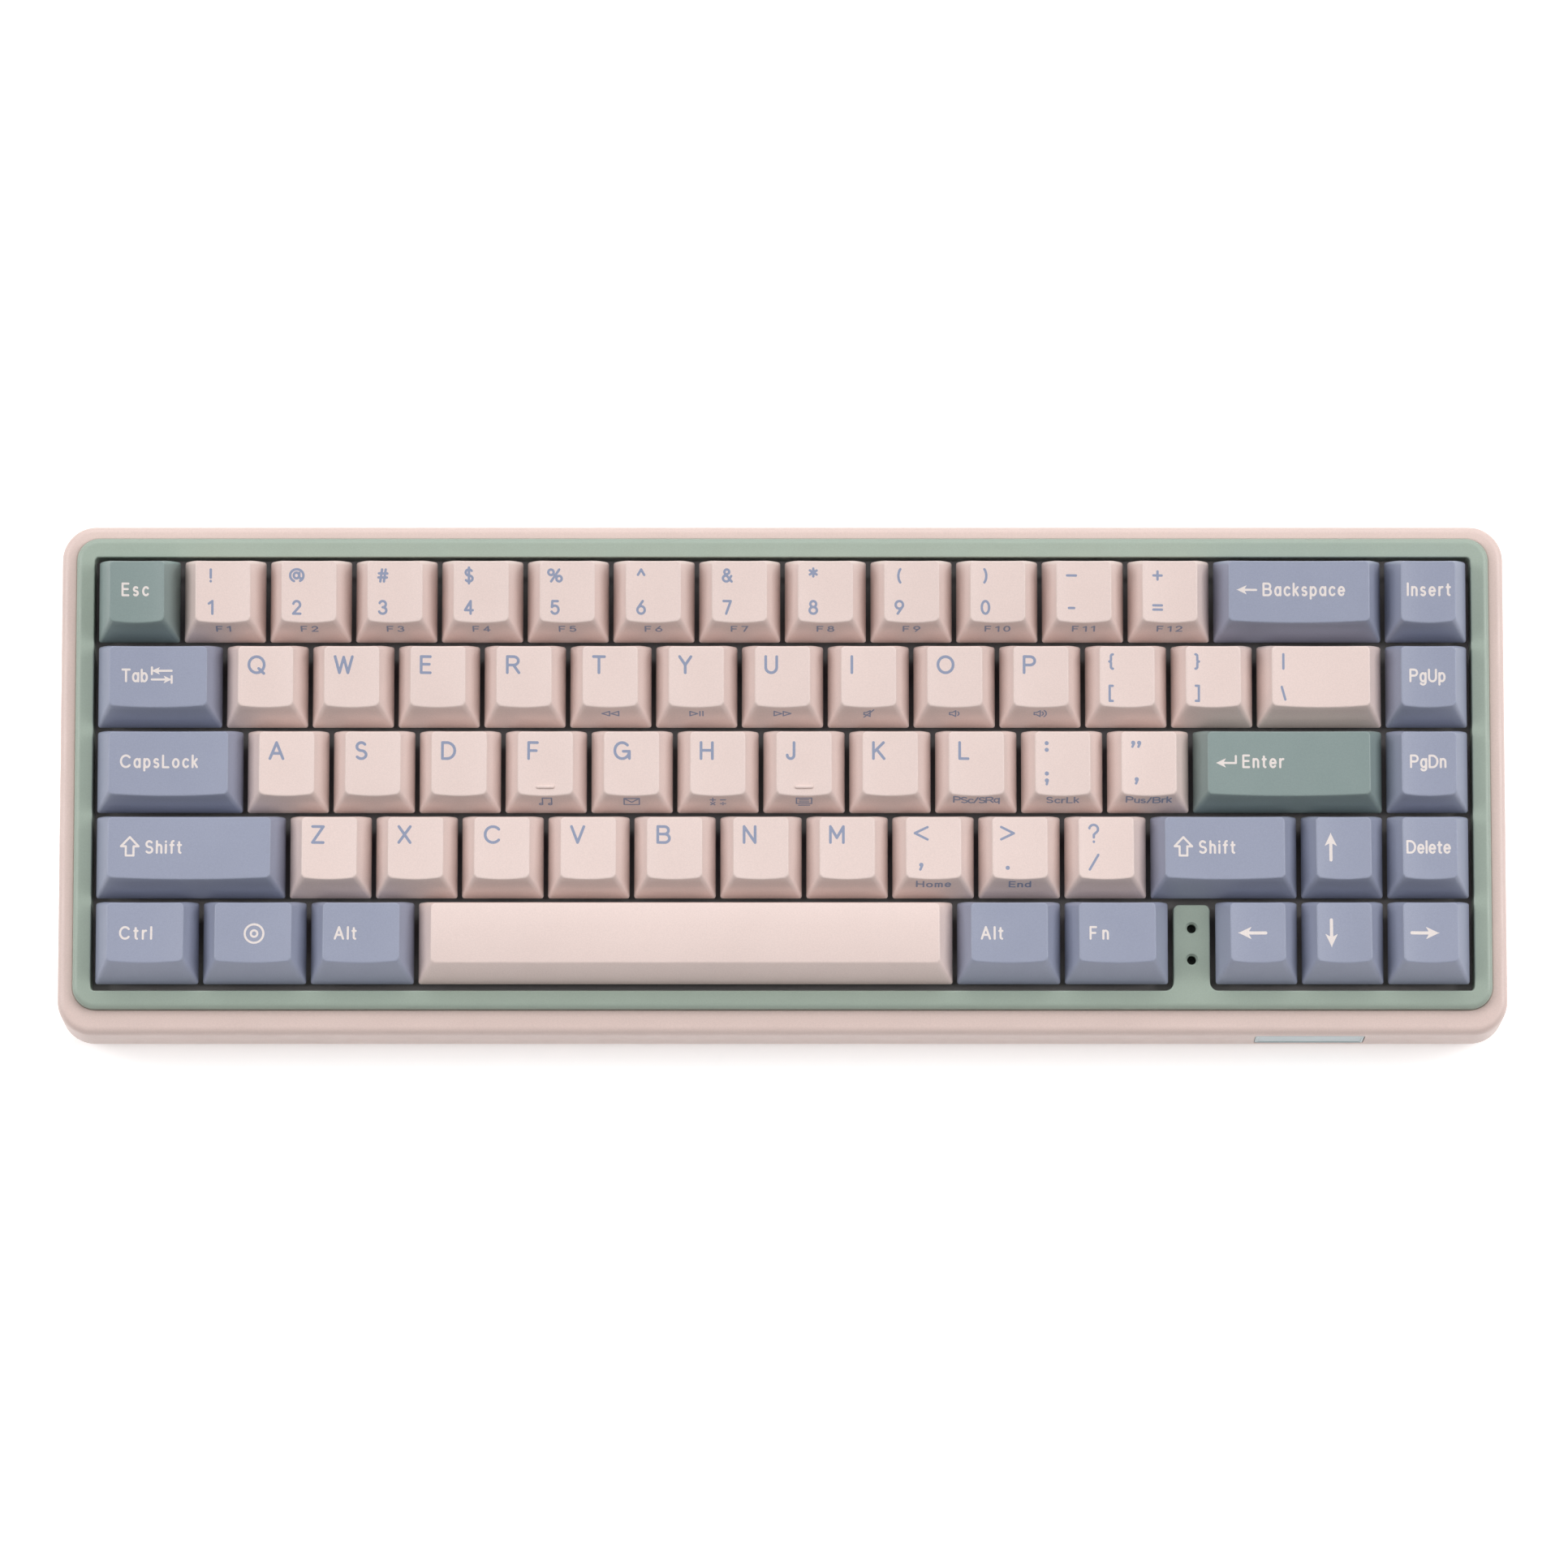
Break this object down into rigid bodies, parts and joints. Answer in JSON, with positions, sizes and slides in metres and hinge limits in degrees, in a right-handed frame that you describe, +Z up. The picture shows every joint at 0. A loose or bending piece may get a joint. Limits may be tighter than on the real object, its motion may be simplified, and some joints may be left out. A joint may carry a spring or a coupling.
{
  "type": "mechanical keyboard",
  "caption": "Compact mechanical keyboard: wedge case with raised frame, sculpted keycaps travelling on sprung switches, flip feet and a rear USB socket.",
  "frame": {"origin": "middle of the footprint at table height, under the rubber strips", "axes": "+X to the typist's right, +Y away from the typist, +Z up"},
  "size_m": [0.321, 0.113, 0.0373],
  "materials": {
    "shell_pink": "fine satin texture, pale dusty pink",
    "frame_green": "fine satin texture, sage green",
    "plate_grey": "satin grey coat on a steel sheet",
    "switch_black": "moulded nylon, slightly glossy",
    "board_black": "solder mask over a glass-fibre board",
    "foam_grey": "closed-cell foam sheet",
    "rubber_dark": "soft matt rubber",
    "socket_steel": "drawn steel shell",
    "badge_blue": "satin pale blue-grey plate with no lettering",
    "keycap_pink": "finely textured cap plastic, pale pink",
    "keycap_blue": "finely textured cap plastic, lavender blue",
    "keycap_green": "finely textured cap plastic, grey green"
  },
  "bodies": {
    "chassis": {"bottom_case": "shell_pink", "top_frame": "frame_green", "switch_plate": "plate_grey", "switch_housings": "switch_black", "circuit_board": "board_black", "case_foam": "foam_grey", "usb_socket": "socket_steel", "front_badge": "badge_blue", "front_rubber_strip": "rubber_dark", "rear_rubber_strip": "rubber_dark"},
    "key_a": {"keycap_a": "keycap_pink"},
    "key_arrow_down": {"keycap_arrow_down": "keycap_blue"},
    "key_arrow_left": {"keycap_arrow_left": "keycap_blue"},
    "key_arrow_right": {"keycap_arrow_right": "keycap_blue"},
    "key_arrow_up": {"keycap_arrow_up": "keycap_blue"},
    "key_b": {"keycap_b": "keycap_pink"},
    "key_backspace": {"keycap_backspace": "keycap_blue"},
    "key_c": {"keycap_c": "keycap_pink"},
    "key_caps_lock": {"keycap_caps_lock": "keycap_blue"},
    "key_d": {"keycap_d": "keycap_pink"},
    "key_e": {"keycap_e": "keycap_pink"},
    "key_enter": {"keycap_enter": "keycap_green"},
    "key_esc": {"keycap_esc": "keycap_green"},
    "key_f": {"keycap_f": "keycap_pink"},
    "key_fn": {"keycap_fn": "keycap_blue"},
    "key_g": {"keycap_g": "keycap_pink"},
    "key_h": {"keycap_h": "keycap_pink"},
    "key_i": {"keycap_i": "keycap_pink"},
    "key_j": {"keycap_j": "keycap_pink"},
    "key_k": {"keycap_k": "keycap_pink"},
    "key_l": {"keycap_l": "keycap_pink"},
    "key_left_alt": {"keycap_left_alt": "keycap_blue"},
    "key_left_ctrl": {"keycap_left_ctrl": "keycap_blue"},
    "key_left_shift": {"keycap_left_shift": "keycap_blue"},
    "key_m": {"keycap_m": "keycap_pink"},
    "key_n": {"keycap_n": "keycap_pink"},
    "key_o": {"keycap_o": "keycap_pink"},
    "key_p": {"keycap_p": "keycap_pink"},
    "key_q": {"keycap_q": "keycap_pink"},
    "key_r": {"keycap_r": "keycap_pink"},
    "key_right_alt": {"keycap_right_alt": "keycap_blue"},
    "key_right_shift": {"keycap_right_shift": "keycap_blue"},
    "key_s": {"keycap_s": "keycap_pink"},
    "key_space": {"keycap_space": "keycap_pink"},
    "key_system": {"keycap_system": "keycap_blue"},
    "key_t": {"keycap_t": "keycap_pink"},
    "key_tab": {"keycap_tab": "keycap_blue"},
    "key_u": {"keycap_u": "keycap_pink"},
    "key_v": {"keycap_v": "keycap_pink"},
    "key_w": {"keycap_w": "keycap_pink"},
    "key_x": {"keycap_x": "keycap_pink"},
    "key_y": {"keycap_y": "keycap_pink"},
    "key_z": {"keycap_z": "keycap_pink"},
    "keys_brackets": {"keycaps_brackets": "keycap_pink"},
    "keys_comma_period_slash": {"keycaps_comma_period_slash": "keycap_pink"},
    "keys_navigation_column": {"keycaps_navigation_column": "keycap_blue"},
    "keys_number_row": {"keycaps_number_row": "keycap_pink"},
    "keys_semicolon_quote": {"keycaps_semicolon_quote": "keycap_pink"},
    "left_foot": {"left_flip_foot": "shell_pink"},
    "right_foot": {"right_flip_foot": "shell_pink"}
  },
  "joints": [
    {"name": "key_a_travel", "type": "slide", "parent": "chassis", "child": "key_a", "axis": [0, 0.1045, -0.9945], "range_m": [0, 0.004], "stiffness_N_per_m": 60, "springref_m": -0.002},
    {"name": "key_arrow_down_travel", "type": "slide", "parent": "chassis", "child": "key_arrow_down", "axis": [0, 0.1045, -0.9945], "range_m": [0, 0.004], "stiffness_N_per_m": 60, "springref_m": -0.002},
    {"name": "key_arrow_left_travel", "type": "slide", "parent": "chassis", "child": "key_arrow_left", "axis": [0, 0.1045, -0.9945], "range_m": [0, 0.004], "stiffness_N_per_m": 60, "springref_m": -0.002},
    {"name": "key_arrow_right_travel", "type": "slide", "parent": "chassis", "child": "key_arrow_right", "axis": [0, 0.1045, -0.9945], "range_m": [0, 0.004], "stiffness_N_per_m": 60, "springref_m": -0.002},
    {"name": "key_arrow_up_travel", "type": "slide", "parent": "chassis", "child": "key_arrow_up", "axis": [0, 0.1045, -0.9945], "range_m": [0, 0.004], "stiffness_N_per_m": 60, "springref_m": -0.002},
    {"name": "key_b_travel", "type": "slide", "parent": "chassis", "child": "key_b", "axis": [0, 0.1045, -0.9945], "range_m": [0, 0.004], "stiffness_N_per_m": 60, "springref_m": -0.002},
    {"name": "key_backspace_travel", "type": "slide", "parent": "chassis", "child": "key_backspace", "axis": [0, 0.1045, -0.9945], "range_m": [0, 0.004], "stiffness_N_per_m": 60, "springref_m": -0.002},
    {"name": "key_c_travel", "type": "slide", "parent": "chassis", "child": "key_c", "axis": [0, 0.1045, -0.9945], "range_m": [0, 0.004], "stiffness_N_per_m": 60, "springref_m": -0.002},
    {"name": "key_caps_lock_travel", "type": "slide", "parent": "chassis", "child": "key_caps_lock", "axis": [0, 0.1045, -0.9945], "range_m": [0, 0.004], "stiffness_N_per_m": 60, "springref_m": -0.002},
    {"name": "key_d_travel", "type": "slide", "parent": "chassis", "child": "key_d", "axis": [0, 0.1045, -0.9945], "range_m": [0, 0.004], "stiffness_N_per_m": 60, "springref_m": -0.002},
    {"name": "key_e_travel", "type": "slide", "parent": "chassis", "child": "key_e", "axis": [0, 0.1045, -0.9945], "range_m": [0, 0.004], "stiffness_N_per_m": 60, "springref_m": -0.002},
    {"name": "key_enter_travel", "type": "slide", "parent": "chassis", "child": "key_enter", "axis": [0, 0.1045, -0.9945], "range_m": [0, 0.004], "stiffness_N_per_m": 60, "springref_m": -0.002},
    {"name": "key_esc_travel", "type": "slide", "parent": "chassis", "child": "key_esc", "axis": [0, 0.1045, -0.9945], "range_m": [0, 0.004], "stiffness_N_per_m": 60, "springref_m": -0.002},
    {"name": "key_f_travel", "type": "slide", "parent": "chassis", "child": "key_f", "axis": [0, 0.1045, -0.9945], "range_m": [0, 0.004], "stiffness_N_per_m": 60, "springref_m": -0.002},
    {"name": "key_fn_travel", "type": "slide", "parent": "chassis", "child": "key_fn", "axis": [0, 0.1045, -0.9945], "range_m": [0, 0.004], "stiffness_N_per_m": 60, "springref_m": -0.002},
    {"name": "key_g_travel", "type": "slide", "parent": "chassis", "child": "key_g", "axis": [0, 0.1045, -0.9945], "range_m": [0, 0.004], "stiffness_N_per_m": 60, "springref_m": -0.002},
    {"name": "key_h_travel", "type": "slide", "parent": "chassis", "child": "key_h", "axis": [0, 0.1045, -0.9945], "range_m": [0, 0.004], "stiffness_N_per_m": 60, "springref_m": -0.002},
    {"name": "key_i_travel", "type": "slide", "parent": "chassis", "child": "key_i", "axis": [0, 0.1045, -0.9945], "range_m": [0, 0.004], "stiffness_N_per_m": 60, "springref_m": -0.002},
    {"name": "key_j_travel", "type": "slide", "parent": "chassis", "child": "key_j", "axis": [0, 0.1045, -0.9945], "range_m": [0, 0.004], "stiffness_N_per_m": 60, "springref_m": -0.002},
    {"name": "key_k_travel", "type": "slide", "parent": "chassis", "child": "key_k", "axis": [0, 0.1045, -0.9945], "range_m": [0, 0.004], "stiffness_N_per_m": 60, "springref_m": -0.002},
    {"name": "key_l_travel", "type": "slide", "parent": "chassis", "child": "key_l", "axis": [0, 0.1045, -0.9945], "range_m": [0, 0.004], "stiffness_N_per_m": 60, "springref_m": -0.002},
    {"name": "key_left_alt_travel", "type": "slide", "parent": "chassis", "child": "key_left_alt", "axis": [0, 0.1045, -0.9945], "range_m": [0, 0.004], "stiffness_N_per_m": 60, "springref_m": -0.002},
    {"name": "key_left_ctrl_travel", "type": "slide", "parent": "chassis", "child": "key_left_ctrl", "axis": [0, 0.1045, -0.9945], "range_m": [0, 0.004], "stiffness_N_per_m": 60, "springref_m": -0.002},
    {"name": "key_left_shift_travel", "type": "slide", "parent": "chassis", "child": "key_left_shift", "axis": [0, 0.1045, -0.9945], "range_m": [0, 0.004], "stiffness_N_per_m": 60, "springref_m": -0.002},
    {"name": "key_m_travel", "type": "slide", "parent": "chassis", "child": "key_m", "axis": [0, 0.1045, -0.9945], "range_m": [0, 0.004], "stiffness_N_per_m": 60, "springref_m": -0.002},
    {"name": "key_n_travel", "type": "slide", "parent": "chassis", "child": "key_n", "axis": [0, 0.1045, -0.9945], "range_m": [0, 0.004], "stiffness_N_per_m": 60, "springref_m": -0.002},
    {"name": "key_o_travel", "type": "slide", "parent": "chassis", "child": "key_o", "axis": [0, 0.1045, -0.9945], "range_m": [0, 0.004], "stiffness_N_per_m": 60, "springref_m": -0.002},
    {"name": "key_p_travel", "type": "slide", "parent": "chassis", "child": "key_p", "axis": [0, 0.1045, -0.9945], "range_m": [0, 0.004], "stiffness_N_per_m": 60, "springref_m": -0.002},
    {"name": "key_q_travel", "type": "slide", "parent": "chassis", "child": "key_q", "axis": [0, 0.1045, -0.9945], "range_m": [0, 0.004], "stiffness_N_per_m": 60, "springref_m": -0.002},
    {"name": "key_r_travel", "type": "slide", "parent": "chassis", "child": "key_r", "axis": [0, 0.1045, -0.9945], "range_m": [0, 0.004], "stiffness_N_per_m": 60, "springref_m": -0.002},
    {"name": "key_right_alt_travel", "type": "slide", "parent": "chassis", "child": "key_right_alt", "axis": [0, 0.1045, -0.9945], "range_m": [0, 0.004], "stiffness_N_per_m": 60, "springref_m": -0.002},
    {"name": "key_right_shift_travel", "type": "slide", "parent": "chassis", "child": "key_right_shift", "axis": [0, 0.1045, -0.9945], "range_m": [0, 0.004], "stiffness_N_per_m": 60, "springref_m": -0.002},
    {"name": "key_s_travel", "type": "slide", "parent": "chassis", "child": "key_s", "axis": [0, 0.1045, -0.9945], "range_m": [0, 0.004], "stiffness_N_per_m": 60, "springref_m": -0.002},
    {"name": "key_space_travel", "type": "slide", "parent": "chassis", "child": "key_space", "axis": [0, 0.1045, -0.9945], "range_m": [0, 0.004], "stiffness_N_per_m": 60, "springref_m": -0.002},
    {"name": "key_system_travel", "type": "slide", "parent": "chassis", "child": "key_system", "axis": [0, 0.1045, -0.9945], "range_m": [0, 0.004], "stiffness_N_per_m": 60, "springref_m": -0.002},
    {"name": "key_t_travel", "type": "slide", "parent": "chassis", "child": "key_t", "axis": [0, 0.1045, -0.9945], "range_m": [0, 0.004], "stiffness_N_per_m": 60, "springref_m": -0.002},
    {"name": "key_tab_travel", "type": "slide", "parent": "chassis", "child": "key_tab", "axis": [0, 0.1045, -0.9945], "range_m": [0, 0.004], "stiffness_N_per_m": 60, "springref_m": -0.002},
    {"name": "key_u_travel", "type": "slide", "parent": "chassis", "child": "key_u", "axis": [0, 0.1045, -0.9945], "range_m": [0, 0.004], "stiffness_N_per_m": 60, "springref_m": -0.002},
    {"name": "key_v_travel", "type": "slide", "parent": "chassis", "child": "key_v", "axis": [0, 0.1045, -0.9945], "range_m": [0, 0.004], "stiffness_N_per_m": 60, "springref_m": -0.002},
    {"name": "key_w_travel", "type": "slide", "parent": "chassis", "child": "key_w", "axis": [0, 0.1045, -0.9945], "range_m": [0, 0.004], "stiffness_N_per_m": 60, "springref_m": -0.002},
    {"name": "key_x_travel", "type": "slide", "parent": "chassis", "child": "key_x", "axis": [0, 0.1045, -0.9945], "range_m": [0, 0.004], "stiffness_N_per_m": 60, "springref_m": -0.002},
    {"name": "key_y_travel", "type": "slide", "parent": "chassis", "child": "key_y", "axis": [0, 0.1045, -0.9945], "range_m": [0, 0.004], "stiffness_N_per_m": 60, "springref_m": -0.002},
    {"name": "key_z_travel", "type": "slide", "parent": "chassis", "child": "key_z", "axis": [0, 0.1045, -0.9945], "range_m": [0, 0.004], "stiffness_N_per_m": 60, "springref_m": -0.002},
    {"name": "keys_brackets_travel", "type": "slide", "parent": "chassis", "child": "keys_brackets", "axis": [0, 0.1045, -0.9945], "range_m": [0, 0.004], "stiffness_N_per_m": 180, "springref_m": -0.002},
    {"name": "keys_comma_period_slash_travel", "type": "slide", "parent": "chassis", "child": "keys_comma_period_slash", "axis": [0, 0.1045, -0.9945], "range_m": [0, 0.004], "stiffness_N_per_m": 180, "springref_m": -0.002},
    {"name": "keys_navigation_column_travel", "type": "slide", "parent": "chassis", "child": "keys_navigation_column", "axis": [0, 0.1045, -0.9945], "range_m": [0, 0.004], "stiffness_N_per_m": 240, "springref_m": -0.002},
    {"name": "keys_number_row_travel", "type": "slide", "parent": "chassis", "child": "keys_number_row", "axis": [0, 0.1045, -0.9945], "range_m": [0, 0.004], "stiffness_N_per_m": 720, "springref_m": -0.002},
    {"name": "keys_semicolon_quote_travel", "type": "slide", "parent": "chassis", "child": "keys_semicolon_quote", "axis": [0, 0.1045, -0.9945], "range_m": [0, 0.004], "stiffness_N_per_m": 120, "springref_m": -0.002},
    {"name": "left_foot_hinge", "type": "hinge", "parent": "chassis", "child": "left_foot", "pos_m": [-0.118, 0.043, 0.0033], "axis": [1, 0, 0], "range_deg": [0, 100]},
    {"name": "right_foot_hinge", "type": "hinge", "parent": "chassis", "child": "right_foot", "pos_m": [0.118, 0.043, 0.0033], "axis": [1, 0, 0], "range_deg": [0, 100]}
  ]
}
